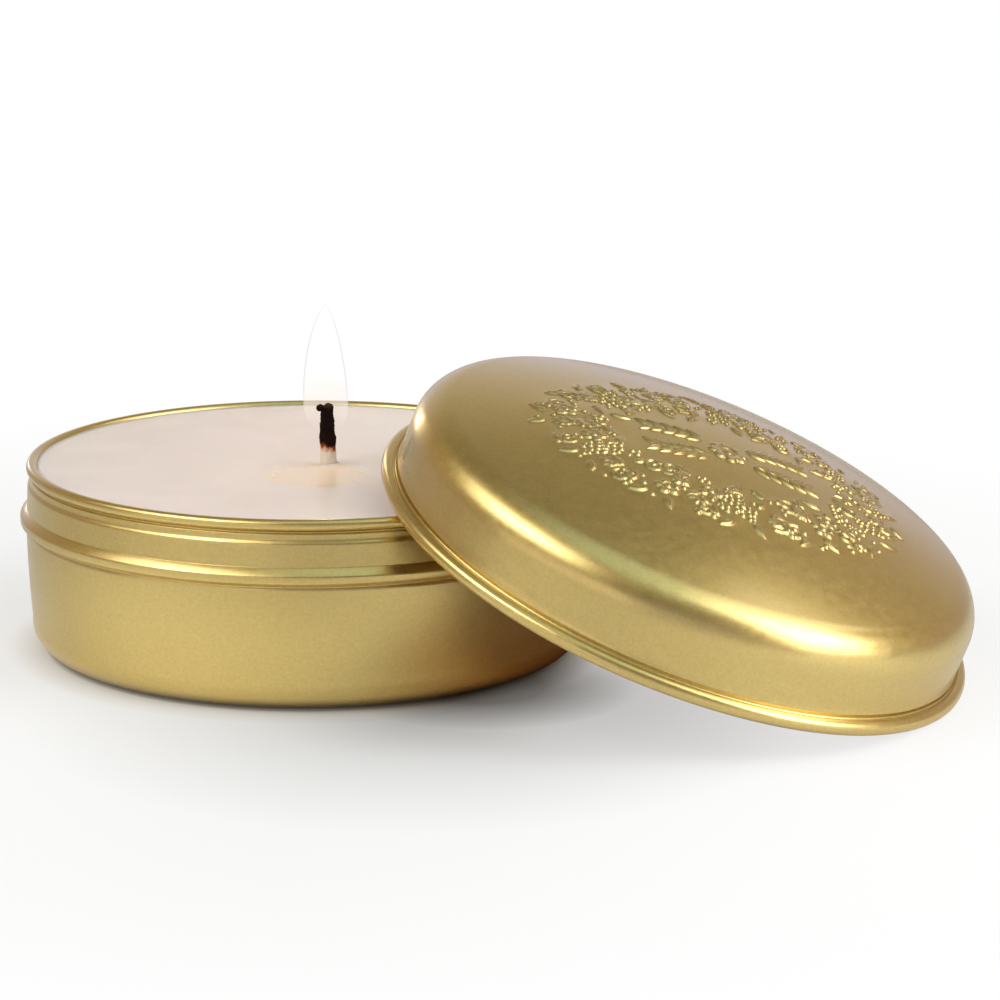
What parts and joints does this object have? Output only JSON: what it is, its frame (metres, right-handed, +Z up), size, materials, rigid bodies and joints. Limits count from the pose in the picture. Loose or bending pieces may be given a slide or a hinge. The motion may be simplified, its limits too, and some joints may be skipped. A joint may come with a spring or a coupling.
{
  "type": "candle tin",
  "caption": "Round slip-lid candle tin filled with wax, its domed lid leaning on the rim, with a joint that tips the lid up on its edge.",
  "frame": {"origin": "centre of the can's underside, on the table", "axes": "+Z up along the can's axis, +X towards the side the lid leans on, -Y towards the viewer"},
  "size_m": [0.1322, 0.1079, 0.0422],
  "materials": {
    "gold_lacquered_aluminium": "satin gold lacquer on drawn aluminium",
    "candle_wax": "smooth pinkish-white poured wax",
    "charred_wick": "braided cotton, charred at its free end",
    "tinned_steel": "pressed tinned steel",
    "white_foam": "double-sided foam pad",
    "blank_paper": "uncoated paper, left blank"
  },
  "bodies": {
    "tin": {"base_can": "gold_lacquered_aluminium", "wax_fill": "candle_wax", "wick": "charred_wick", "wick_sustainer": "tinned_steel", "adhesive_pad": "white_foam", "base_label": "blank_paper"},
    "lid": {"lid_shell": "gold_lacquered_aluminium"}
  },
  "joints": [
    {"name": "lid_tip", "type": "hinge", "parent": "tin", "child": "lid", "pos_m": [0.08482, -0.04174, 0.00105], "axis": [0.4415, 0.8973, 0], "range_deg": [0, 68]}
  ]
}
